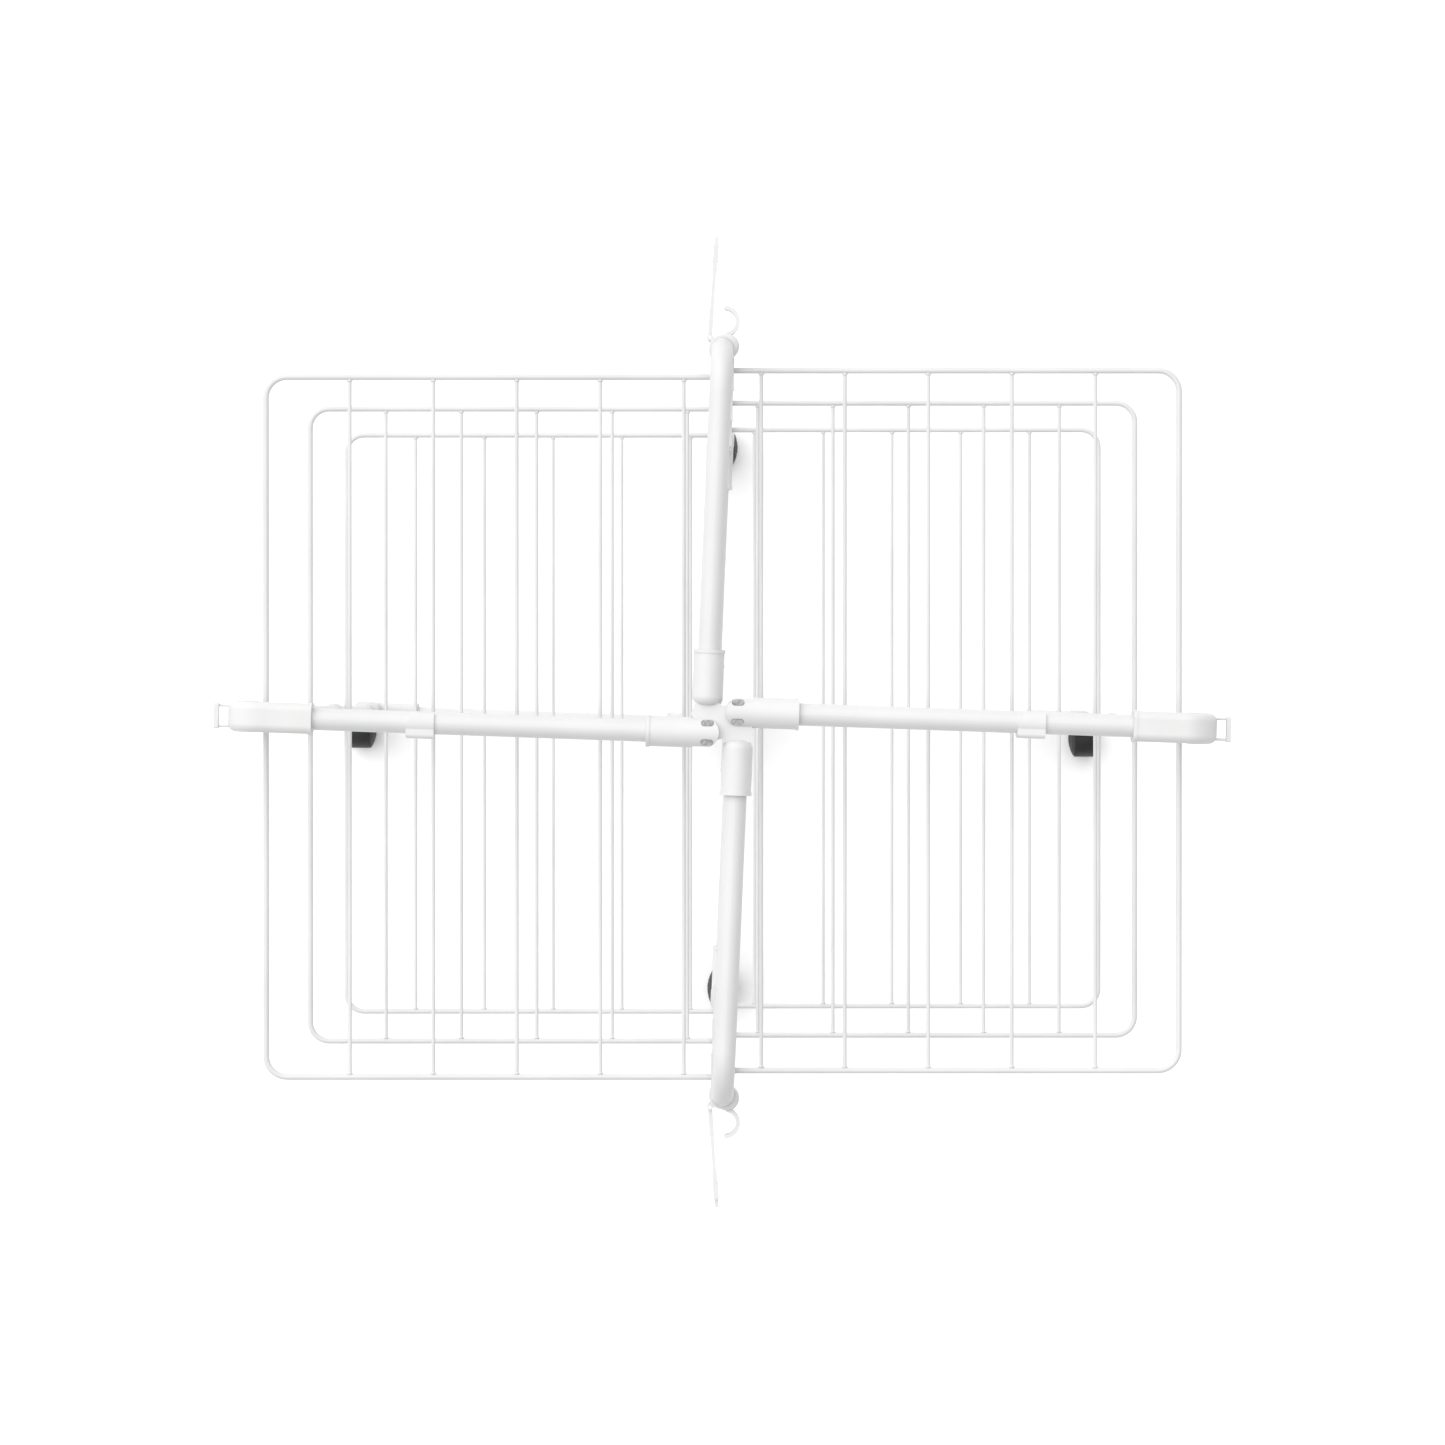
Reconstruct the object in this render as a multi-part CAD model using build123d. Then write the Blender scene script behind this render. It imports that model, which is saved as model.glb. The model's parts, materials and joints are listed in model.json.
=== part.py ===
import math
import os

from build123d import *

# Free-standing folding drying rack on casters.
# Sizes are in millimetres. The origin is on the floor under the hub's axis.
# +X is to the right, +Y is to the back, +Z is up.

# Heights
TOP_Z = 1434.0
BOTTOM_Z = 70.0
SHELF_Z = {"top": 1360.0, "middle": 952.0, "bottom": 544.0}

# Tubes and moulded sleeves
TUBE_R = 11.0
TUBE_WALL = 1.0
SLEEVE_R = 15.0
RIM_R = 15.7
RIM_LENGTH = 3.5
POST_BEND_R = 45.0
CUT = 1.0

# Arms: the start of each arm at the hub and the axis of the post at its end
ARM_START = {
    "left": (-18.0, -10.0),
    "right": (18.0, 10.0),
    "back": (-14.5, 32.0),
    "front": (14.5, -32.0),
}
ARM_END = {
    "left": (-472.0, 6.0),
    "right": (472.0, -6.0),
    "back": (0.0, 370.5),
    "front": (0.0, -370.5),
}
FIXED_ARMS = ("back", "front")
FOLDING_ARMS = ("left", "right")
HEIGHTS = {"top": TOP_Z, "bottom": BOTTOM_Z}

# Hub plate and its pivot pins
HUB_THICK = 12.0
HUB_BOSS_R = 9.0
HUB_GAP = 0.35
HUB_CORNERS = [
    (-31.0, 8.5),
    (-26.0, 20.0),
    (-4.5, 20.0),
    (0.5, 16.0),
    (18.0, 19.0),
    (27.0, 10.0),
    (27.5, -3.0),
]
SPIGOT_WIDTH = 19.0
SPIGOT_FROM = -14.0
SPIGOT_TO = 4.0
PIN_R = 3.0
PIN_HALF = 10.5
RUN_GAP = 0.05

# Folding sleeves, measured from the pivot along the arm
FOLD_SLEEVE_OUT = 57.0
FOLD_SLOT_OUT = 11.5
FOLD_TUBE_FROM = 22.0
RECESS_X = -3.0
RECESS_Y = 9.5
RECESS_LONG = 12.5
RECESS_WIDE = 6.2
RECESS_FLOOR = 7.7
SCREW_R = 2.4
SCREW_HIGH = 1.8
CUP_GAP = 0.3
CUP_HIGH = 1.0
CROSS_LONG = 3.2
CROSS_WIDE = 0.7
CROSS_DEEP = 0.7
NOSE_TRIM = 0.5
SLOT_WIDE = 20.0
PIN_END_GAP = 0.4

# Fixed sleeves, measured from the arm's start
FIXED_SLEEVE_IN = -15.0
FIXED_SLEEVE_OUT = 39.5
FIXED_TUBE_FROM = 8.0
FIXED_SLEEVE_ROUND = 9.0

# Corner elbows
ELBOW_BEND_R = 18.0
ELBOW_CORNER = 8.0
TOP_ELBOW_RUN = 70.0
BOTTOM_ELBOW_RUN = 64.0
ELBOW_DROP = 54.0
TUBE_STOP = 24.0

# Rectangular hanger eyes on the top elbows
EYE_ROD_R = 1.3
EYE_ROD_Y = 10.2
EYE_Z = 1416.0
EYE_ROD_IN = 8.0
EYE_BAR_IN = 24.5
EYE_BAR_THICK = 4.5
EYE_BAR_WIDE = 25.0
EYE_BAR_HIGH = 7.0
EYE_BAR_ROUND = 1.2

# Fold clips on the left and right arms
CLIP_OUT = {"left": 278.1, "right": 284.8}
CLIP_TURN = {"left": 0, "right": 180}
CLIP_LENGTH = 27.4
CLIP_R = 13.5
CLIP_BACK = 10.0
CLIP_REACH = 15.5
CLIP_SLANT = 5.0
CLIP_SLANT_TO = 3.0
CLIP_ROUND = 2.0
CLIP_BLOCK_FROM = 4.0
CLIP_GRIP_ROUND = 4.0
CLIP_HALF_HIGH = 12.0
CRADLE_R = 12.3
CRADLE_OFFSET = 24.5

# Shelves
RAIL_Y = 350.0
RAIL_SHIFT = {"left": -5.0, "right": 1.5}
RAIL_R = 3.0
WIRE_R = 2.0
OUTER_X = 456.5
OUTER_CORNER_R = 21.0
HINGE_X = 7.0
HINGE_CORNER_R = 4.0
HINGE_PIN_END_Y = 331.0
FIRST_WIRE_X = 38.8
WIRE_PITCH = 83.5
WIRE_COUNT = 5

# Shelf brackets on the back and front posts
BRACKET_HALF_WIDE = 11.5
BRACKET_EAR_IN = 331.5
BRACKET_EAR_OUT = 340.5
BRACKET_RING_R = 12.6
BRACKET_LOW = 4.5
BRACKET_HIGH = 12.0
EAR_DROP = 7.0

# Shelf clips on the left and right posts
SHELF_CLIP_R = 13.5
SHELF_CLIP_LOW = -3.0
SHELF_CLIP_HIGH = 9.0
SHELF_CLIP_HALF_LONG = 5.0
SHELF_CLIP_WALL = 2.2
CHANNEL_GAP = 0.5
JAW_IN = 8.0

# Collars with hooks and the swinging hanger arms
COLLAR_LOW = 1373.0
COLLAR_HIGH = 1392.0
COLLAR_R = 13.6
BULGE_R = 12.0
BULGE_X = 4.5
BULGE_Y = 373.6
BULGE_ROUND = 3.0
HOOK_X = 2.3
HOOK_Y = 398.4
HOOK_R = 15.0
HOOK_THICK = 3.8
HOOK_TIP = 1.3
HOOK_LOW = 1377.0
HOOK_HIGH = 1388.0
HANGER_X = -12.5
HANGER_Y = 382.1
HANGER_TILT = 4.0
KNUCKLE_R = 2.6
KNUCKLE_NECK = 1.6
LUG_R = 2.8
LUG_THICK = 2.5
LUG_NECK_LONG = 16.0
LUG_NECK_WIDE = 5.2
LUG_GAP = 0.4
HANGER_PIN_R = 1.4
HANGER_SEGMENTS = [
    (3.0, 29.0, 4.2, 0.0),
    (29.0, 67.0, 3.2, 0.0),
    (67.0, 76.0, 4.0, 0.0),
    (76.0, 92.0, 5.0, 0.0),
    (92.0, 100.3, 3.6, 4.0),
]

# Casters with twin wheels
WHEEL_R = 24.0
WHEEL_INNER = 6.5
WHEEL_OUTER = 20.5
WHEEL_DOME_R = 46.0
WHEEL_BEVEL = 1.2
AXLE_R = 3.0
AXLE_HALF = 17.0
AXLE_END_GAP = 0.5
WEB_HALF = 6.0
WEB_R = 17.0
HOOD_R = 24.6
CASTER_TOP = 50.5
FLANGE_THICK = 2.0
FLANGE_R = 9.5
NECK_HALF = 9.0
NECK_FROM = 20.0
SWIVEL_GAP = 0.5
STEM_R = 4.0
STEM_HIGH = 76.0
BOSS_R = 11.0
BOSS_HIGH = 82.0
BOSS_RIB_HALF = 8.0
BOSS_RIB_LOW = 55.0
BOSS_RIB_HIGH = 78.0
SWIVEL_OFFSET = 16.0
FIXED_OFFSET = 5.0
TRAIL = 21.0


def angle_of(arm):
    """Heading of an arm seen from above, in degrees."""
    start = ARM_START[arm]
    end = ARM_END[arm]
    return math.degrees(math.atan2(end[1] - start[1], end[0] - start[0]))


def length_of(arm):
    """Distance from an arm's start to its post."""
    start = ARM_START[arm]
    end = ARM_END[arm]
    return math.dist(start, end)


def on_arm(arm, z=0.0):
    """Frame of an arm: local +X runs out along the arm."""
    start = ARM_START[arm]
    return Location((start[0], start[1], z), (0, 0, angle_of(arm)))


def rod(start, end, radius):
    """Solid round bar between two points."""
    start = Vector(*start)
    end = Vector(*end)
    plane = Plane(origin=start, z_dir=end - start)
    align = (Align.CENTER, Align.CENTER, Align.MIN)
    return plane * Cylinder(radius, (end - start).length, align=align)


def pipe(start, end):
    """Hollow tube between two points."""
    return rod(start, end, TUBE_R) - rod(start, end, TUBE_R - TUBE_WALL)


def square_section(start, heading, half, corner):
    """Rounded square at the start of a moulded bar, with two flats square to Y."""
    plane = Plane(origin=start, x_dir=(0, 1, 0), z_dir=heading)
    return plane * RectangleRounded(2 * half, 2 * half, corner)


def square_rim(start, end):
    """Rim with a rounded square section between two points."""
    start = Vector(*start)
    heading = Vector(*end) - start
    return extrude(square_section(start, heading, RIM_R, ELBOW_CORNER), heading.length)


def block(low, high):
    """Box between two opposite corners."""
    size = [high[i] - low[i] for i in range(3)]
    centre = [(high[i] + low[i]) / 2 for i in range(3)]
    return Pos(*centre) * Box(*size)


def rounded_path(points, radii):
    """Path through the points, with an arc of the given radius at each inner point."""
    points = [Vector(*p) for p in points]
    edges = []
    last = points[0]
    for i, radius in enumerate(radii):
        corner = points[i + 1]
        back = (points[i] - corner).normalized()
        ahead = (points[i + 2] - corner).normalized()
        half = math.acos(max(-1.0, min(1.0, back.dot(ahead)))) / 2
        reach = radius / math.tan(half)
        enter = corner + back * reach
        leave = corner + ahead * reach
        middle = (back + ahead).normalized()
        top = corner + middle * (radius / math.sin(half) - radius)
        edges.append(Edge.make_line(last, enter))
        edges.append(Edge.make_three_point_arc(enter, top, leave))
        last = leave
    edges.append(Edge.make_line(last, points[-1]))
    return Wire(edges)


def bent_rod(points, radii, radius):
    """Round bar swept along a rounded path."""
    path = rounded_path(points, radii)
    start = Vector(*points[0])
    heading = Vector(*points[1]) - start
    profile = Plane(origin=start, z_dir=heading) * Circle(radius)
    return sweep(profile, path=path)


def half_turn(shape):
    """The same shape turned half a turn about the hub's axis."""
    return Rot(0, 0, 180) * shape


def hub_pins(z):
    """The two upright pivot pins of one hub."""
    pins = []
    for arm in FOLDING_ARMS:
        x, y = ARM_START[arm]
        pins.append(rod((x, y, z - PIN_HALF), (x, y, z + PIN_HALF), PIN_R))
    return Compound(children=pins)


def hub(z):
    """S-shaped plate with two pivot bosses and two fixed spigots."""
    corners = HUB_CORNERS + [(-x, -y) for x, y in HUB_CORNERS]
    half = HUB_THICK / 2
    plate = extrude(Plane.XY.offset(-half) * make_face(Polyline(*corners, close=True)), HUB_THICK)
    for arm in FOLDING_ARMS:
        x, y = ARM_START[arm]
        plate += rod((x, y, -half), (x, y, half), HUB_BOSS_R)
    for arm in FIXED_ARMS:
        wide = SPIGOT_WIDTH / 2
        spigot = block((SPIGOT_FROM, -wide, -half), (SPIGOT_TO, wide, half))
        plate += on_arm(arm) * spigot
    plate = Pos(0, 0, z) * plate
    for arm in FOLDING_ARMS:
        x, y = ARM_START[arm]
        plate -= rod((x, y, z - half - CUT), (x, y, z + half + CUT), PIN_R)
    return plate


def oval(y, low, high, gap=0.0):
    """Upright bar with an oval section, the shape of a screw recess."""
    radius = RECESS_WIDE / 2 - gap
    half = (RECESS_LONG - RECESS_WIDE) / 2
    shape = block((RECESS_X - half, y - radius, low), (RECESS_X + half, y + radius, high))
    for x in (RECESS_X - half, RECESS_X + half):
        shape += rod((x, y, low), (x, y, high), radius)
    return shape


def fold_sleeve(arm, z):
    """Sleeve that turns on a pivot pin; its slot takes the hub plate."""
    barrel = rod((0, 0, 0), (FOLD_SLEEVE_OUT, 0, 0), SLEEVE_R)
    barrel += rod((FOLD_SLEEVE_OUT - RIM_LENGTH, 0, 0), (FOLD_SLEEVE_OUT, 0, 0), RIM_R)
    nose = rod((-SLEEVE_R, 0, 0), (0, 0, 0), SLEEVE_R)
    nose = nose & rod((0, 0, -SLEEVE_R), (0, 0, SLEEVE_R), SLEEVE_R - NOSE_TRIM)
    sleeve = barrel + nose
    slot = HUB_THICK / 2 + HUB_GAP
    sleeve -= block((-SLOT_WIDE, -SLOT_WIDE, -slot), (FOLD_SLOT_OUT, SLOT_WIDE, slot))
    sleeve -= rod((FOLD_TUBE_FROM, 0, 0), (FOLD_SLEEVE_OUT + CUT, 0, 0), TUBE_R)
    pin_room = PIN_HALF + PIN_END_GAP
    sleeve -= rod((0, 0, -pin_room), (0, 0, pin_room), PIN_R + RUN_GAP)
    for side in (-1, 1):
        sleeve -= oval(side * RECESS_Y, RECESS_FLOOR, SLEEVE_R + CUT)
    return on_arm(arm, z) * sleeve


def sleeve_screws(arm):
    """Dark oval cups with cross-head screws, in the recesses of one folding frame's sleeves."""
    heads = []
    top = RECESS_FLOOR + SCREW_HIGH
    for z in HEIGHTS.values():
        for side in (-1, 1):
            y = side * RECESS_Y
            head = oval(y, RECESS_FLOOR, RECESS_FLOOR + CUP_HIGH, CUP_GAP)
            head += rod((RECESS_X, y, RECESS_FLOOR), (RECESS_X, y, top), SCREW_R)
            for wide, long in ((CROSS_WIDE, CROSS_LONG), (CROSS_LONG, CROSS_WIDE)):
                head -= Pos(RECESS_X, y, top) * Box(wide, long, 2 * CROSS_DEEP)
            heads.append(on_arm(arm, z) * head)
    return Compound(children=heads)


def fixed_sleeve(arm, z, plate):
    """Sleeve that holds a fixed arm on the hub's spigot."""
    sleeve = rod((FIXED_SLEEVE_IN, 0, 0), (FIXED_SLEEVE_OUT, 0, 0), SLEEVE_R)
    sleeve = fillet(sleeve.edges().group_by(Axis.X)[0], FIXED_SLEEVE_ROUND)
    sleeve += rod((FIXED_SLEEVE_OUT - RIM_LENGTH, 0, 0), (FIXED_SLEEVE_OUT, 0, 0), RIM_R)
    sleeve -= rod((FIXED_TUBE_FROM, 0, 0), (FIXED_SLEEVE_OUT + CUT, 0, 0), TUBE_R)
    return on_arm(arm, z) * sleeve - plate


def frame_tube(arm):
    """Bent tube that is both the top arm and the post of a fixed frame."""
    out = length_of(arm)
    low = BOTTOM_Z + TUBE_STOP
    points = [(FIXED_TUBE_FROM, 0, TOP_Z), (out, 0, TOP_Z), (out, 0, low)]
    tube = bent_rod(points, [POST_BEND_R], TUBE_R)
    tube -= bent_rod(points, [POST_BEND_R], TUBE_R - TUBE_WALL)
    return on_arm(arm) * tube


def straight_tube(arm, z):
    """Straight tube of an arm, from its sleeve to its elbow."""
    begin = FIXED_TUBE_FROM if arm in FIXED_ARMS else FOLD_TUBE_FROM
    out = length_of(arm) - TUBE_STOP
    return on_arm(arm, z) * pipe((begin, 0, 0), (out, 0, 0))


def post(arm):
    """Upright tube of a folding frame."""
    out = length_of(arm)
    return on_arm(arm) * pipe((out, 0, BOTTOM_Z + TUBE_STOP), (out, 0, TOP_Z - TUBE_STOP))


def elbow(arm, level):
    """Moulded corner that joins an arm and a post."""
    out = length_of(arm)
    run = TOP_ELBOW_RUN if level == "top" else BOTTOM_ELBOW_RUN
    turn = -1 if level == "top" else 1
    inner = out - run
    end = turn * ELBOW_DROP
    path = rounded_path([(inner, 0, 0), (out, 0, 0), (out, 0, end)], [ELBOW_BEND_R])
    body = sweep(square_section((inner, 0, 0), (1, 0, 0), SLEEVE_R, ELBOW_CORNER), path=path)
    body += square_rim((inner, 0, 0), (inner + RIM_LENGTH, 0, 0))
    body += square_rim((out, 0, end), (out, 0, end - turn * RIM_LENGTH))
    body -= rod((inner - CUT, 0, 0), (out - TUBE_STOP, 0, 0), TUBE_R)
    body -= rod((out, 0, turn * TUBE_STOP), (out, 0, end + turn * CUT), TUBE_R)
    return on_arm(arm, HEIGHTS[level]) * body


def caster_stem(arm):
    """Upright axis of a caster, as a point on the floor."""
    x, y = ARM_END[arm]
    if arm in FOLDING_ARMS:
        x += math.copysign(SWIVEL_OFFSET, x)
    else:
        y -= math.copysign(FIXED_OFFSET, y)
    return x, y


def bottom_elbow(arm):
    """Lower elbow with a boss for the caster's stem."""
    body = elbow(arm, "bottom")
    x, y = caster_stem(arm)
    gap = 0.0
    high = BOTTOM_Z
    if arm in FOLDING_ARMS:
        gap = SWIVEL_GAP
        high = BOSS_HIGH
    boss = rod((x, y, CASTER_TOP + gap), (x, y, high), BOSS_R)
    if arm in FOLDING_ARMS:
        post_x, post_y = ARM_END[arm]
        xs = sorted((post_x, x))
        boss += block((xs[0], y - BOSS_RIB_HALF, BOSS_RIB_LOW), (xs[1], y + BOSS_RIB_HALF, BOSS_RIB_HIGH))
    body += boss
    run_gap = RUN_GAP if gap else 0.0
    return body - rod((x, y, CASTER_TOP - CUT), (x, y, STEM_HIGH + gap), STEM_R + run_gap)


def hanger_eye(arm):
    """Rectangular loop that stands out from a top elbow."""
    out = length_of(arm)
    bar_low = out + EYE_BAR_IN
    half = EYE_BAR_WIDE / 2
    z = EYE_Z
    eye = block(
        (bar_low, -half, z - EYE_BAR_HIGH / 2),
        (bar_low + EYE_BAR_THICK, half, z + EYE_BAR_HIGH / 2),
    )
    eye = fillet(eye.edges().filter_by(Axis.X), EYE_BAR_ROUND)
    for side in (-1, 1):
        y = side * EYE_ROD_Y
        eye += rod((out + EYE_ROD_IN, y, z), (bar_low + CUT, y, z), EYE_ROD_R)
    return on_arm(arm) * eye


def fold_clip(arm):
    """Snap clip on an arm, open at its back, with a hollowed grip at its front."""
    half = CLIP_LENGTH / 2
    corners = [
        (-half, -CLIP_BACK),
        (half - CLIP_SLANT, -CLIP_BACK),
        (half, CLIP_SLANT_TO),
        (half, CLIP_REACH),
        (-half, CLIP_REACH),
    ]
    outline = make_face(Polyline(*corners, close=True))
    limit = extrude(Plane.XY.offset(-SLEEVE_R) * outline, 2 * SLEEVE_R)
    limit = fillet(limit.edges().filter_by(Axis.Z), CLIP_ROUND)
    clip = rod((-half, 0, 0), (half, 0, 0), CLIP_R)
    grip = block((-half, CLIP_BLOCK_FROM, -CLIP_HALF_HIGH), (half, CLIP_REACH, CLIP_HALF_HIGH))
    clip += fillet(grip.edges().filter_by(Axis.X).group_by(Axis.Y)[-1], CLIP_GRIP_ROUND)
    clip = clip & limit
    cut = half + CUT
    clip -= rod((-cut, CRADLE_OFFSET, 0), (cut, CRADLE_OFFSET, 0), CRADLE_R)
    clip -= rod((-cut, 0, 0), (cut, 0, 0), TUBE_R)
    return on_arm(arm, TOP_Z) * Location((CLIP_OUT[arm], 0, 0), (0, 0, CLIP_TURN[arm])) * clip


def shelf_clips(arm):
    """Clips on a post; each has a channel, open downward, for a shelf's outer wire."""
    x, y = ARM_END[arm]
    side = math.copysign(1, x)
    wire_x = side * OUTER_X
    channel = RAIL_R + CHANNEL_GAP
    clips = []
    for z in SHELF_Z.values():
        low = z + SHELF_CLIP_LOW
        high = z + SHELF_CLIP_HIGH
        clip = rod((x, y, low), (x, y, high), SHELF_CLIP_R)
        xs = sorted((x - side * JAW_IN, wire_x - side * (channel + SHELF_CLIP_WALL)))
        jaw = block(
            (xs[0], y - SHELF_CLIP_HALF_LONG, low),
            (xs[1], y + SHELF_CLIP_HALF_LONG, high),
        )
        clip += jaw
        front = y - SHELF_CLIP_R - CUT
        back = y + SHELF_CLIP_R + CUT
        clip -= rod((wire_x, front, z), (wire_x, back, z), channel)
        clip -= block((wire_x - channel, front, low - CUT), (wire_x + channel, back, z))
        clip -= rod((x, y, low - CUT), (x, y, high + CUT), TUBE_R)
        clips.append(clip)
    return Compound(children=clips)


def shelf_brackets(arm):
    """Brackets on a fixed post; each carries the hinge pins of a left and a right shelf."""
    x, y = ARM_END[arm]
    side = math.copysign(1, y)
    wide = BRACKET_HALF_WIDE
    brackets = []
    for z in SHELF_Z.values():
        low = z + BRACKET_LOW
        high = z + BRACKET_HIGH
        bracket = rod((x, y, low), (x, y, high), BRACKET_RING_R)
        ys = sorted((side * BRACKET_EAR_IN, y))
        bracket += block((-wide, ys[0], low), (wide, ys[1], high))
        ys = sorted((side * BRACKET_EAR_IN, side * BRACKET_EAR_OUT))
        bracket += block((-wide, ys[0], z - EAR_DROP), (wide, ys[1], high))
        bracket -= rod((x, y, low - CUT), (x, y, high + CUT), TUBE_R)
        for hinge_x in (-HINGE_X, HINGE_X):
            bracket -= rod((hinge_x, ys[0] - CUT, z), (hinge_x, ys[1] + CUT, z), RAIL_R + RUN_GAP)
        brackets.append(bracket)
    return Compound(children=brackets)


def half_shelf(arm, z):
    """Half shelf: a bent frame wire with cross wires butted to its rails."""
    side = math.copysign(1, ARM_END[arm][0])
    back = RAIL_Y + RAIL_SHIFT[arm]
    front = -RAIL_Y + RAIL_SHIFT[arm]
    points = [
        (side * HINGE_X, HINGE_PIN_END_Y, z),
        (side * HINGE_X, back, z),
        (side * OUTER_X, back, z),
        (side * OUTER_X, front, z),
        (side * HINGE_X, front, z),
        (side * HINGE_X, -HINGE_PIN_END_Y, z),
    ]
    radii = [HINGE_CORNER_R, OUTER_CORNER_R, OUTER_CORNER_R, HINGE_CORNER_R]
    frame = bent_rod(points, radii, RAIL_R)
    solids = [frame]
    for i in range(WIRE_COUNT):
        x = side * (FIRST_WIRE_X + WIRE_PITCH * i)
        solids.append(rod((x, front, z), (x, back, z), WIRE_R) - frame)
    return Compound(children=solids)


def collar():
    """Collar on the back post with its fixed hook and the lugs of the hanger arm."""
    x, y = ARM_END["back"]
    body = rod((x, y, COLLAR_LOW), (x, y, COLLAR_HIGH), COLLAR_R)
    bulge = rod((BULGE_X, BULGE_Y, COLLAR_LOW), (BULGE_X, BULGE_Y, COLLAR_HIGH), BULGE_R)
    body += fillet(bulge.edges().group_by(Axis.Z)[-1], BULGE_ROUND)
    for low in (COLLAR_LOW, COLLAR_HIGH - LUG_THICK):
        high = low + LUG_THICK
        lug = rod((HANGER_X, HANGER_Y, low), (HANGER_X, HANGER_Y, high), LUG_R)
        turn = math.degrees(math.atan2(HANGER_Y - y, HANGER_X - x))
        middle = Location((HANGER_X / 2, (HANGER_Y + y) / 2, (low + high) / 2), (0, 0, turn))
        body += lug + middle * Box(LUG_NECK_LONG, LUG_NECK_WIDE, LUG_THICK)
    tip_x = HOOK_X + HOOK_TIP
    tip_r = HOOK_THICK / 2
    tip_y = HOOK_Y + HOOK_R - tip_r
    hook = rod((HOOK_X, HOOK_Y, HOOK_LOW), (HOOK_X, HOOK_Y, HOOK_HIGH), HOOK_R)
    hook -= rod((HOOK_X, HOOK_Y, HOOK_LOW - CUT), (HOOK_X, HOOK_Y, HOOK_HIGH + CUT), HOOK_R - HOOK_THICK)
    hook -= block(
        (HOOK_X - HOOK_R - CUT, HOOK_Y - HOOK_R - CUT, HOOK_LOW - CUT),
        (tip_x, HOOK_Y + HOOK_R + CUT, HOOK_HIGH + CUT),
    )
    hook += rod((tip_x, tip_y, HOOK_LOW), (tip_x, tip_y, HOOK_HIGH), tip_r)
    body += hook
    body -= rod((x, y, COLLAR_LOW - CUT), (x, y, COLLAR_HIGH + CUT), TUBE_R)
    body -= frame_tube("back")
    pin_low = (HANGER_X, HANGER_Y, COLLAR_LOW - CUT)
    pin_high = (HANGER_X, HANGER_Y, COLLAR_HIGH + CUT)
    return body - rod(pin_low, pin_high, HANGER_PIN_R)


def hanger_pin():
    """Pin that the back hanger arm swings on."""
    return rod((HANGER_X, HANGER_Y, COLLAR_LOW), (HANGER_X, HANGER_Y, COLLAR_HIGH), HANGER_PIN_R)


def hanger_arm():
    """Slim arm that swings on the back collar's pin."""
    low = COLLAR_LOW + LUG_THICK + LUG_GAP
    high = COLLAR_HIGH - LUG_THICK - LUG_GAP
    arm = rod((0, 0, low), (0, 0, high), KNUCKLE_R)
    arm += block((0, -KNUCKLE_NECK, low), (HANGER_SEGMENTS[0][1], KNUCKLE_NECK, high))
    for begin, end, thick, step in HANGER_SEGMENTS:
        arm += block((begin, -thick / 2, low + step), (end, thick / 2, high - step))
    arm -= rod((0, 0, low - CUT), (0, 0, high + CUT), HANGER_PIN_R + RUN_GAP)
    return Location((HANGER_X, HANGER_Y, 0), (0, 0, 90 - HANGER_TILT)) * arm


def wheel_centre_y(arm):
    """Y of a caster's axle."""
    x, y = caster_stem(arm)
    return y - (TRAIL if arm in FOLDING_ARMS else 0.0)


def caster_housing(arm):
    """Web and narrow hood between the twin wheels, with the stem and the axle."""
    x, y = caster_stem(arm)
    wheel_y = wheel_centre_y(arm)
    web = rod((x - WEB_HALF, wheel_y, WHEEL_R), (x + WEB_HALF, wheel_y, WHEEL_R), HOOD_R)
    upper = block(
        (x - WEB_HALF, wheel_y - HOOD_R - CUT, WHEEL_R),
        (x + WEB_HALF, wheel_y + HOOD_R + CUT, WHEEL_R + HOOD_R + CUT),
    )
    web = web & upper
    web += rod((x - WEB_HALF, wheel_y, WHEEL_R), (x + WEB_HALF, wheel_y, WHEEL_R), WEB_R)
    web += block((x - WEB_HALF, y - NECK_HALF, NECK_FROM), (x + WEB_HALF, y + NECK_HALF, CASTER_TOP - CUT))
    web += rod((x, y, CASTER_TOP - FLANGE_THICK), (x, y, CASTER_TOP), FLANGE_R)
    web += rod((x, y, CASTER_TOP - CUT), (x, y, STEM_HIGH), STEM_R)
    web += rod((x - AXLE_HALF, wheel_y, WHEEL_R), (x + AXLE_HALF, wheel_y, WHEEL_R), AXLE_R)
    return web


def wheel_disc():
    """Domed wheel with a bevelled rim on the X axis, from its inner face outwards."""
    dome_x = WHEEL_OUTER - WHEEL_DOME_R
    rim_r = WHEEL_R - WHEEL_BEVEL
    rim_x = dome_x + math.sqrt(WHEEL_DOME_R**2 - rim_r**2)
    half_x = dome_x + math.sqrt(WHEEL_DOME_R**2 - (rim_r / 2) ** 2)
    outline = [
        Line((WHEEL_OUTER, 0), (WHEEL_INNER, 0)),
        Line((WHEEL_INNER, 0), (WHEEL_INNER, WHEEL_R)),
        Line((WHEEL_INNER, WHEEL_R), (rim_x - WHEEL_BEVEL, WHEEL_R)),
        Line((rim_x - WHEEL_BEVEL, WHEEL_R), (rim_x, rim_r)),
        ThreePointArc((rim_x, rim_r), (half_x, rim_r / 2), (WHEEL_OUTER, 0)),
    ]
    disc = revolve(make_face(outline), Axis.X)
    return disc - rod((0, 0, 0), (AXLE_HALF + AXLE_END_GAP, 0, 0), AXLE_R + RUN_GAP)


def wheel_pair(arm):
    """Twin wheels that turn together on a caster's axle."""
    place = Location((caster_stem(arm)[0], wheel_centre_y(arm), WHEEL_R))
    return Compound(children=[place * wheel_disc(), place * half_turn(wheel_disc())])


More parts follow.
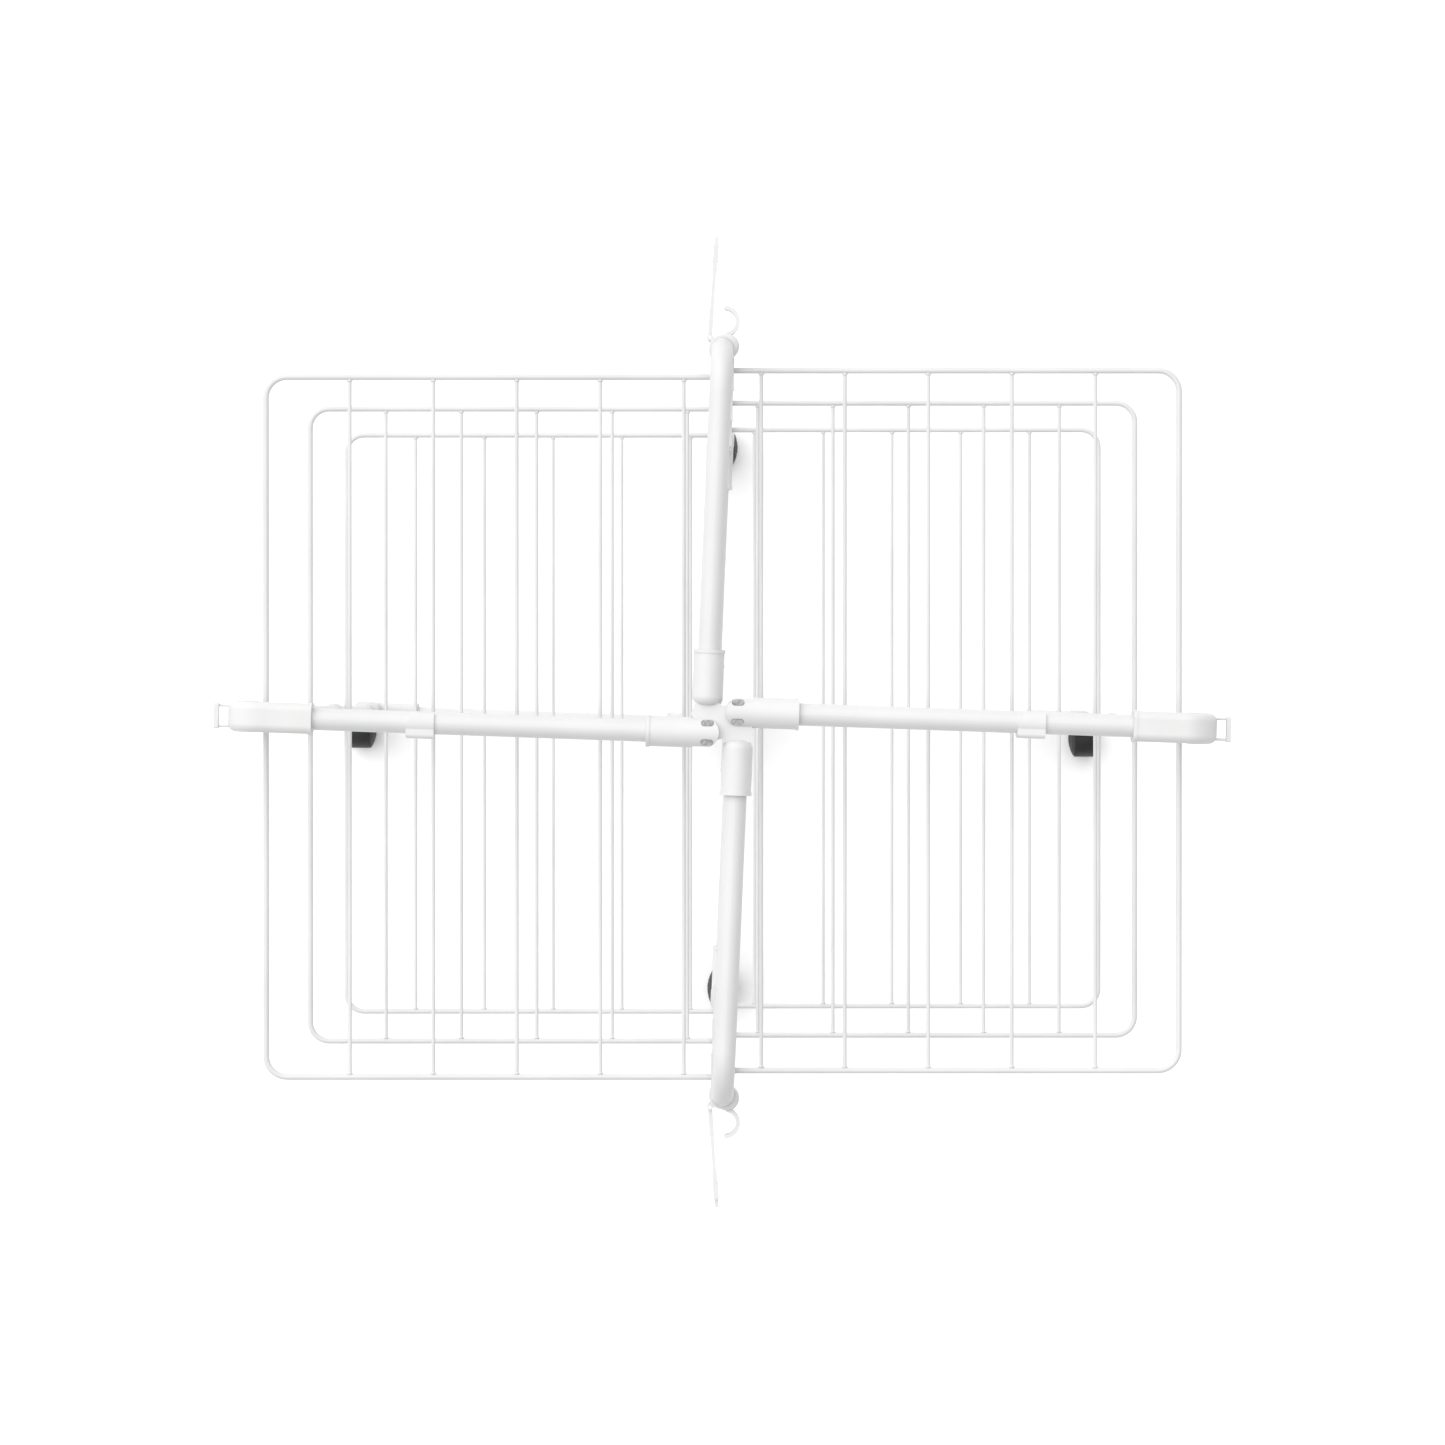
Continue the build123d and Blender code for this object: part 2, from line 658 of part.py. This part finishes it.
def front_of(shape):
    """The matching part on the front side."""
    return mirror(shape, about=Plane.XZ)


parts = {}

for level, z in HEIGHTS.items():
    plate = hub(z)
    parts["hub_" + level] = plate
    parts["hub_pins_" + level] = hub_pins(z)
    for arm in FOLDING_ARMS:
        parts["sleeve_" + arm + "_" + level] = fold_sleeve(arm, z)
    for arm in FIXED_ARMS:
        parts["sleeve_" + arm + "_" + level] = fixed_sleeve(arm, z, plate)

for arm in FOLDING_ARMS:
    eye = hanger_eye(arm)
    parts["screws_" + arm] = sleeve_screws(arm)
    parts["top_tube_" + arm] = straight_tube(arm, TOP_Z)
    parts["post_" + arm] = post(arm)
    parts["elbow_" + arm + "_top"] = elbow(arm, "top") - eye
    parts["hanger_eye_" + arm] = eye
    parts["fold_clip_" + arm] = fold_clip(arm)
    parts["shelf_clips_" + arm] = shelf_clips(arm)

for arm in FIXED_ARMS:
    parts["frame_tube_" + arm] = frame_tube(arm)
    parts["shelf_brackets_" + arm] = shelf_brackets(arm)

for arm in ARM_START:
    parts["bottom_tube_" + arm] = straight_tube(arm, BOTTOM_Z)
    parts["elbow_" + arm + "_bottom"] = bottom_elbow(arm)
    parts["caster_housing_" + arm] = caster_housing(arm)
    parts["wheels_" + arm] = wheel_pair(arm)

parts["collar_back"] = collar()
parts["collar_front"] = front_of(collar())
parts["hanger_pin_back"] = hanger_pin()
parts["hanger_pin_front"] = front_of(hanger_pin())
parts["hanger_arm_back"] = hanger_arm()
parts["hanger_arm_front"] = front_of(hanger_arm())

for level, z in SHELF_Z.items():
    for arm in FOLDING_ARMS:
        parts["shelf_" + arm + "_" + level] = half_shelf(arm, z)

os.makedirs("parts", exist_ok=True)
for name, shape in parts.items():
    export_step(shape, "parts/" + name + ".step")
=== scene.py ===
import json
import math

import bmesh
import bpy
from mathutils import Matrix, Vector


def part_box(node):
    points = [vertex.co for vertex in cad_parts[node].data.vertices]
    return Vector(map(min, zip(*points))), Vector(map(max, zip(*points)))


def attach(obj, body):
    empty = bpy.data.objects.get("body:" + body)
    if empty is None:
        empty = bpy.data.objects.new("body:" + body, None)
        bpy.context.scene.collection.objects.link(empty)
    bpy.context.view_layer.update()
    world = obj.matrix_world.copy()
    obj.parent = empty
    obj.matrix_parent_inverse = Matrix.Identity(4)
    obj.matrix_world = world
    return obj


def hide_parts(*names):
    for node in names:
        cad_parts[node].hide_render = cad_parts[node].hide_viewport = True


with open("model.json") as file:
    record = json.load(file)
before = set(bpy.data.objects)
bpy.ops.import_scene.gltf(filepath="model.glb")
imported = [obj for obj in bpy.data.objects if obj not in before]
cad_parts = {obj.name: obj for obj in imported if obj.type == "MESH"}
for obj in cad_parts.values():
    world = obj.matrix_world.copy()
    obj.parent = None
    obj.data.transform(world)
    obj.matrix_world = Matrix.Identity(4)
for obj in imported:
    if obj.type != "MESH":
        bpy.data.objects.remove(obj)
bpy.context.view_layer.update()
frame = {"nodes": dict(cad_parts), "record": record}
SCENE = bpy.context.scene
NODES = frame["nodes"]

FOLDING = ("left", "right")
FIXED = ("back", "front")
ARMS = FOLDING + FIXED
LEVELS = ("top", "middle", "bottom")

# Lengths are in metres, angles in degrees where they are named.

# Cross wires and their welds
RAIL_R = 0.003
WIRES = 5
WIRE_FIRST_X = 0.0388
WIRE_PITCH = 0.0835
BEAD_HALF_LENGTH = 0.00187
BEAD_R = 0.002924
BEAD_GAP = 0.0006
BEAD_RINGS = 8
BEAD_STEPS = 16

# Wheel discs: tread, then the domed face from the rim to the middle
WHEEL_INNER = 0.0065
TREAD_EDGE = 0.0006
TREAD_GROOVE_TOP = 0.0006
TREAD_GROOVE_FLOOR = 0.0003
TREAD_GROOVE_DEPTH = 0.0007
RIM_BEVEL = 0.0012
RIM_ROUND = 0.0004
DOME_R = 0.046
RIM_STEP_DEPTH = 0.0006
CAP_STEP_DEPTH = 0.0008
FACE_RINGS = (
    (0.0222, 0.0),
    (0.0206, 0.0),
    (0.0202, RIM_STEP_DEPTH),
    (0.0196, RIM_STEP_DEPTH),
    (0.0192, 0.0),
    (0.0165, 0.0),
    (0.0135, 0.0),
    (0.0105, 0.0),
    (0.0100, CAP_STEP_DEPTH),
    (0.0086, CAP_STEP_DEPTH),
    (0.0080, 0.0),
    (0.0055, 0.0),
    (0.0028, 0.0),
)
WHEEL_STEPS = 96
WHEEL_SHARP_ANGLE = 28

# Hoods over the wheels
HOOD_HALF_WIDTH = 0.013
HOOD_INNER_R = 0.0245
HOOD_OUTER_R = 0.0254
HOOD_EDGE = 0.0003
HOOD_BELOW_AXLE = 0.06  # radians past the level of the axle, at both ends
HOOD_STEPS = 40
HOOD_SHARP_ANGLE = 50

# Softened edges of the moulded parts
SOFT_NODES = (
    "hub_top",
    "hub_bottom",
    "sleeve",
    "elbow",
    "collar",
    "fold_clip",
    "shelf_clips",
    "shelf_brackets",
    "hanger_arm",
)
SOFT_WIDTH = 0.0005
SOFT_ANGLE = 40

# Stage
FLOOR_HALF = 9.0
SURROUND_STRENGTH = 0.6
KEY_PLACE = (-2.6, 3.2, 6.0)
KEY_SPREAD = 90
KEY_STRENGTH = 2.95
CAMERA_LENS = 94.6
CAMERA_SENSOR = 36.0
CAMERA_Y = 0.0162
CAMERA_Z = 5.158
AIM_Z = 1.434

# ---------------------------------------------------------------- node helpers


def new_material(name):
    """A node material, with its node tree and its Principled shader."""
    mat = bpy.data.materials.new(name)
    mat.use_nodes = True
    tree = mat.node_tree
    shader = tree.nodes["Principled BSDF"]
    return mat, tree, shader


def add_node(tree, kind, **values):
    """A node with its attributes and its input sockets set."""
    node = tree.nodes.new(kind)
    for key, value in values.items():
        if key in node.inputs:
            node.inputs[key].default_value = value
        else:
            setattr(node, key, value)
    return node


def object_noise(tree, scale, detail, stretch=(1, 1, 1)):
    """Noise in object space, so that its grain has a real size."""
    coords = add_node(tree, "ShaderNodeTexCoord")
    mapping = add_node(tree, "ShaderNodeMapping")
    mapping.inputs["Scale"].default_value = stretch
    noise = add_node(tree, "ShaderNodeTexNoise", Scale=scale, Detail=detail)
    tree.links.new(coords.outputs["Object"], mapping.inputs["Vector"])
    tree.links.new(mapping.outputs["Vector"], noise.inputs["Vector"])
    return noise.outputs["Fac"]


def spread(tree, source, low, high):
    """Maps the middle of a noise signal onto a range of values."""
    node = add_node(tree, "ShaderNodeMapRange")
    node.inputs["From Min"].default_value = 0.3
    node.inputs["From Max"].default_value = 0.7
    node.inputs["To Min"].default_value = low
    node.inputs["To Max"].default_value = high
    tree.links.new(source, node.inputs["Value"])
    return node.outputs["Result"]


def two_colours(tree, source, dark, light):
    """Blends two colours by a noise signal."""
    ramp = add_node(tree, "ShaderNodeValToRGB")
    ramp.color_ramp.elements[0].position = 0.35
    ramp.color_ramp.elements[1].position = 0.65
    ramp.color_ramp.elements[0].color = (*dark, 1)
    ramp.color_ramp.elements[1].color = (*light, 1)
    tree.links.new(source, ramp.inputs["Fac"])
    return ramp.outputs["Color"]


def bumps(tree, layers):
    """Chains bump nodes; each layer is (height signal, depth in metres)."""
    normal = None
    for height, depth in layers:
        node = add_node(tree, "ShaderNodeBump", Strength=1.0, Distance=depth)
        tree.links.new(height, node.inputs["Height"])
        if normal is not None:
            tree.links.new(normal, node.inputs["Normal"])
        normal = node.outputs["Normal"]
    return normal


def wire_shader(tree, shader, colour, roughness, normal):
    """Joins the colour, roughness and normal signals to the shader."""
    tree.links.new(colour, shader.inputs["Base Color"])
    tree.links.new(roughness, shader.inputs["Roughness"])
    tree.links.new(normal, shader.inputs["Normal"])


# ------------------------------------------------------------------- materials


def powder_coat(name, dark, light, rough, peel):
    """White powder coat on steel: faint orange peel and a soft sheen."""
    mat, tree, shader = new_material(name)
    patches = object_noise(tree, scale=9.0, detail=2.0)
    skin = object_noise(tree, scale=900.0, detail=2.0)
    waves = object_noise(tree, scale=260.0, detail=2.0)
    colour = two_colours(tree, patches, dark, light)
    roughness = spread(tree, waves, low=rough - 0.05, high=rough + 0.06)
    normal = bumps(tree, [(waves, peel), (skin, peel * 0.5)])
    wire_shader(tree, shader, colour, roughness, normal)
    shader.inputs["Specular IOR Level"].default_value = 0.35
    shader.inputs["Coat Weight"].default_value = 0.08
    shader.inputs["Coat Roughness"].default_value = 0.25
    return mat


def moulded_plastic(name, dark, light, rough):
    """Injection-moulded plastic: a fine spark-eroded grain and faint flow marks."""
    mat, tree, shader = new_material(name)
    flow = object_noise(tree, scale=22.0, detail=3.0, stretch=(1.0, 1.0, 2.5))
    grit = object_noise(tree, scale=2600.0, detail=2.0)
    soft = object_noise(tree, scale=120.0, detail=2.0)
    colour = two_colours(tree, flow, dark, light)
    roughness = spread(tree, soft, low=rough - 0.04, high=rough + 0.06)
    normal = bumps(tree, [(soft, 0.00003), (grit, 0.00002)])
    wire_shader(tree, shader, colour, roughness, normal)
    shader.inputs["Specular IOR Level"].default_value = 0.35
    shader.inputs["Subsurface Weight"].default_value = 0.04
    shader.inputs["Subsurface Radius"].default_value = (0.004, 0.004, 0.004)
    shader.inputs["Subsurface Scale"].default_value = 0.3
    return mat


def black_rubber(name, dark, light):
    """Hard black wheel tread: scuffed, dusty and dull."""
    mat, tree, shader = new_material(name)
    dust = object_noise(tree, scale=60.0, detail=5.0)
    scuff = object_noise(tree, scale=420.0, detail=4.0, stretch=(1.0, 1.0, 6.0))
    grit = object_noise(tree, scale=2400.0, detail=2.0)
    colour = two_colours(tree, dust, dark, light)
    roughness = spread(tree, scuff, low=0.42, high=0.68)
    normal = bumps(tree, [(scuff, 0.00004), (grit, 0.00002)])
    wire_shader(tree, shader, colour, roughness, normal)
    return mat


def screw_steel(name, dark, light):
    """Plated steel with fine drawn lines; also the dark screw plugs, whose grey is painted shade
    of the deep screw recesses.
    """
    mat, tree, shader = new_material(name)
    lines = object_noise(tree, scale=1500.0, detail=3.0, stretch=(1.0, 1.0, 0.05))
    patches = object_noise(tree, scale=300.0, detail=3.0)
    colour = two_colours(tree, patches, dark, light)
    roughness = spread(tree, lines, low=0.24, high=0.42)
    normal = bumps(tree, [(lines, 0.00002)])
    wire_shader(tree, shader, colour, roughness, normal)
    shader.inputs["Metallic"].default_value = 1.0
    return mat


def grey(level, blue):
    """A near neutral colour with a little more or less blue."""
    return (level, level, level + blue)


MATERIALS = {
    "white_tube": powder_coat(
        "white_tube", dark=grey(0.605, 0.002), light=grey(0.63, 0.002), rough=0.42, peel=0.00004
    ),
    "white_wire": powder_coat(
        "white_wire", dark=grey(0.59, 0.002), light=grey(0.63, 0.002), rough=0.40, peel=0.00003
    ),
    "white_plastic": moulded_plastic(
        "white_plastic", dark=grey(0.615, -0.002), light=grey(0.645, -0.002), rough=0.48
    ),
    "black_plastic": moulded_plastic(
        "black_plastic", dark=grey(0.012, 0.001), light=grey(0.02, 0.001), rough=0.5
    ),
    "black_tread": black_rubber("black_tread", dark=grey(0.012, 0.001), light=grey(0.026, 0.001)),
    "steel": screw_steel("steel", dark=(0.46, 0.47, 0.49), light=(0.62, 0.63, 0.65)),
    # black_steel: the dark grey of the oval screw plugs is painted shade of the deep screw
    # recesses, with fine drawn lines and gloss on top.
    "black_steel": screw_steel("black_steel", dark=grey(0.16, 0.002), light=grey(0.3, 0.003)),
}


def dress_nodes():
    """Every CAD node takes the material of its record slot."""
    for row in frame["record"]["subparts"]:
        node = NODES[row["node"]]
        material = MATERIALS[row["material_slot"]]
        if not node.material_slots:
            node.data.materials.append(material)
        for place in node.material_slots:
            place.material = material


# ---------------------------------------------------------------- mesh helpers


def mesh_object(name, bm, slot, body, sharp_angle=None):
    """A smooth mesh piece from a bmesh, with its material, slot and body."""
    bmesh.ops.remove_doubles(bm, verts=bm.verts, dist=1e-6)
    bmesh.ops.recalc_face_normals(bm, faces=bm.faces)
    mesh = bpy.data.meshes.new(name)
    bm.to_mesh(mesh)
    bm.free()
    for face in mesh.polygons:
        face.use_smooth = True
    obj = bpy.data.objects.new(name, mesh)
    SCENE.collection.objects.link(obj)
    mesh.materials.append(MATERIALS[slot])
    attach(obj, body)
    if sharp_angle is not None:
        mesh.set_sharp_from_angle(angle=math.radians(sharp_angle))
    return obj


def bridge(bm, first, second):
    """Joins two rings of the same length with quads."""
    for i in range(len(first)):
        j = (i + 1) % len(first)
        bm.faces.new((first[i], second[i], second[j], first[j]))


def fan(bm, ring, point, inward):
    """Closes a ring to a point on the axis."""
    for i in range(len(ring)):
        j = (i + 1) % len(ring)
        corners = (ring[i], point, ring[j]) if inward else (point, ring[i], ring[j])
        bm.faces.new(corners)


def lathe(bm, profile, place, steps):
    """Turns a profile of (along, radius) points, both ends on the axis, about the local X axis."""
    rings = []
    for along, radius in profile[1:-1]:
        ring = []
        for i in range(steps):
            angle = 2 * math.pi * i / steps
            point = Vector((along, radius * math.cos(angle), radius * math.sin(angle)))
            ring.append(bm.verts.new(place @ point))
        rings.append(ring)
    start = bm.verts.new(place @ Vector((profile[0][0], 0, 0)))
    end = bm.verts.new(place @ Vector((profile[-1][0], 0, 0)))
    fan(bm, rings[0], start, inward=False)
    for first, second in zip(rings, rings[1:]):
        bridge(bm, first, second)
    fan(bm, rings[-1], end, inward=True)


# ------------------------------------------------------------------ weld beads


def bead_profile():
    """Outline of a small bead, as long as the two points on its axis are apart."""
    points = []
    for i in range(BEAD_RINGS + 1):
        angle = math.pi * i / BEAD_RINGS
        points.append((-BEAD_HALF_LENGTH * math.cos(angle), BEAD_R * math.sin(angle)))
    return points


def add_weld_beads():
    """A flattened bead of weld at both ends of every cross wire, beside the rail."""
    profile = bead_profile()
    along_wire = Matrix.Rotation(math.pi / 2, 4, "Z")
    for side in FOLDING:
        outward = -1 if side == "left" else 1
        for level in LEVELS:
            shelf = "shelf_" + side + "_" + level
            low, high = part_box(shelf)
            z = (low.z + high.z) / 2
            inset = 2 * RAIL_R + BEAD_GAP
            bm = bmesh.new()
            for i in range(WIRES):
                x = outward * (WIRE_FIRST_X + WIRE_PITCH * i)
                for y in (low.y + inset, high.y - inset):
                    place = Matrix.Translation((x, y, z)) @ along_wire
                    lathe(bm, profile, place, BEAD_STEPS)
            mesh_object("weld_beads_" + side + "_" + level, bm, "white_wire", shelf)


# --------------------------------------------------------------------- casters


def dome(outer, radius, sunk=0.0):
    """A point on a disc's domed face, sunk a little where a step is wanted."""
    return (outer - DOME_R + math.sqrt(DOME_R**2 - radius**2) - sunk, radius)


def wheel_profile(outer, radius):
    """Outline of one disc: tread with a parting groove, stepped dome and hub cap."""
    rim = radius - RIM_BEVEL
    rim_x = dome(outer, rim)[0]
    middle = (WHEEL_INNER + rim_x) / 2
    points = [
        (WHEEL_INNER, 0.0),
        (WHEEL_INNER, radius - TREAD_EDGE),
        (WHEEL_INNER + TREAD_EDGE, radius),
        (middle - TREAD_GROOVE_TOP, radius),
        (middle - TREAD_GROOVE_FLOOR, radius - TREAD_GROOVE_DEPTH),
        (middle + TREAD_GROOVE_FLOOR, radius - TREAD_GROOVE_DEPTH),
        (middle + TREAD_GROOVE_TOP, radius),
        (rim_x - RIM_BEVEL, radius),
        (rim_x - RIM_ROUND, radius - RIM_ROUND),
        (rim_x, rim),
    ]
    points += [dome(outer, ring, sunk) for ring, sunk in FACE_RINGS]
    points.append((outer, 0.0))
    return points


def add_wheels():
    """Twin wheels with a tread line, a rim step and a hub cap, in place of the plain CAD discs."""
    for arm in ARMS:
        name = "wheels_" + arm
        low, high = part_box(name)
        profile = wheel_profile((high.x - low.x) / 2, (high.z - low.z) / 2)
        centre = Matrix.Translation((low + high) / 2)
        bm = bmesh.new()
        for turn in (0, math.pi):
            lathe(bm, profile, centre @ Matrix.Rotation(turn, 4, "Z"), WHEEL_STEPS)
        piece = mesh_object("caster_" + name, bm, "black_tread", name, WHEEL_SHARP_ANGLE)
        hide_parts(name)


def hood_section():
    """Section of the hood with small bevels, as (across, radius) points."""
    return [
        (-HOOD_HALF_WIDTH, HOOD_INNER_R + HOOD_EDGE),
        (-HOOD_HALF_WIDTH + HOOD_EDGE, HOOD_INNER_R),
        (HOOD_HALF_WIDTH - HOOD_EDGE, HOOD_INNER_R),
        (HOOD_HALF_WIDTH, HOOD_INNER_R + HOOD_EDGE),
        (HOOD_HALF_WIDTH, HOOD_OUTER_R - HOOD_EDGE),
        (HOOD_HALF_WIDTH - HOOD_EDGE, HOOD_OUTER_R),
        (-HOOD_HALF_WIDTH + HOOD_EDGE, HOOD_OUTER_R),
        (-HOOD_HALF_WIDTH, HOOD_OUTER_R - HOOD_EDGE),
    ]


def add_hoods():
    """A thin curved hood over the inner halves of each pair of wheels."""
    sweep = math.pi + 2 * HOOD_BELOW_AXLE
    for arm in ARMS:
        low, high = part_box("wheels_" + arm)
        centre = (low + high) / 2
        bm = bmesh.new()
        rings = []
        for i in range(HOOD_STEPS + 1):
            angle = sweep * i / HOOD_STEPS - HOOD_BELOW_AXLE
            ring = []
            for across, radius in hood_section():
                offset = Vector((across, radius * math.cos(angle), radius * math.sin(angle)))
                ring.append(bm.verts.new(centre + offset))
            rings.append(ring)
        for first, second in zip(rings, rings[1:]):
            bridge(bm, first, second)
        bm.faces.new(rings[0])
        bm.faces.new(list(reversed(rings[-1])))
        body = "caster_" + arm if arm in FOLDING else "centre_frame"
        mesh_object("caster_hood_" + arm, bm, "black_plastic", body, HOOD_SHARP_ANGLE)


# -------------------------------------------------------------- softened edges


def soften_edges():
    """Moulded parts have no knife edges: a small bevel catches the light."""
    for name, node in NODES.items():
        if name.startswith(SOFT_NODES):
            bevel = node.modifiers.new("soft_edges", "BEVEL")
            bevel.width = SOFT_WIDTH
            bevel.segments = 2
            bevel.limit_method = "ANGLE"
            bevel.angle_limit = math.radians(SOFT_ANGLE)
            bevel.harden_normals = True


# --------------------------------------------------------- floor, light, camera


def add_floor():
    """A plain, pale and dull floor under the wheels."""
    mesh = bpy.data.meshes.new("floor")
    corners = [
        (-FLOOR_HALF, -FLOOR_HALF, 0),
        (FLOOR_HALF, -FLOOR_HALF, 0),
        (FLOOR_HALF, FLOOR_HALF, 0),
        (-FLOOR_HALF, FLOOR_HALF, 0),
    ]
    mesh.from_pydata(corners, [], [(0, 1, 2, 3)])
    floor = bpy.data.objects.new("floor", mesh)
    SCENE.collection.objects.link(floor)
    mat, tree, shader = new_material("pale_floor")
    grain = object_noise(tree, scale=3.0, detail=2.0)
    colour = two_colours(tree, grain, dark=grey(0.95, 0.0), light=grey(0.96, 0.0))
    tree.links.new(colour, shader.inputs["Base Color"])
    shader.inputs["Roughness"].default_value = 0.9
    shader.inputs["Specular IOR Level"].default_value = 0.1
    mesh.materials.append(mat)


def add_surround():
    """An even white studio around the rack."""
    world = bpy.data.worlds.new("studio")
    world.use_nodes = True
    background = world.node_tree.nodes["Background"]
    background.inputs["Color"].default_value = (1, 1, 1, 1)
    background.inputs["Strength"].default_value = SURROUND_STRENGTH
    SCENE.world = world


def add_key():
    """One very wide, soft light from the back left, over the floor and the top alike."""
    data = bpy.data.lights.new("key", "SUN")
    data.angle = math.radians(KEY_SPREAD)
    data.energy = KEY_STRENGTH
    light = bpy.data.objects.new("key", data)
    light.location = KEY_PLACE
    to_origin = -Vector(KEY_PLACE)
    light.rotation_euler = to_origin.to_track_quat("-Z", "Y").to_euler()
    SCENE.collection.objects.link(light)


def add_camera():
    """Straight above the hub, a little towards the back."""
    data = bpy.data.cameras.new("camera")
    data.sensor_width = CAMERA_SENSOR
    data.lens = CAMERA_LENS
    camera = bpy.data.objects.new("camera", data)
    camera.location = (0.0, CAMERA_Y, CAMERA_Z)
    camera.rotation_euler = (-math.atan2(CAMERA_Y, CAMERA_Z - AIM_Z), 0.0, 0.0)
    SCENE.collection.objects.link(camera)
    SCENE.camera = camera


dress_nodes()
add_weld_beads()
add_wheels()
add_hoods()
soften_edges()
add_floor()
add_surround()
add_key()
add_camera()
SCENE.view_settings.view_transform = "Standard"
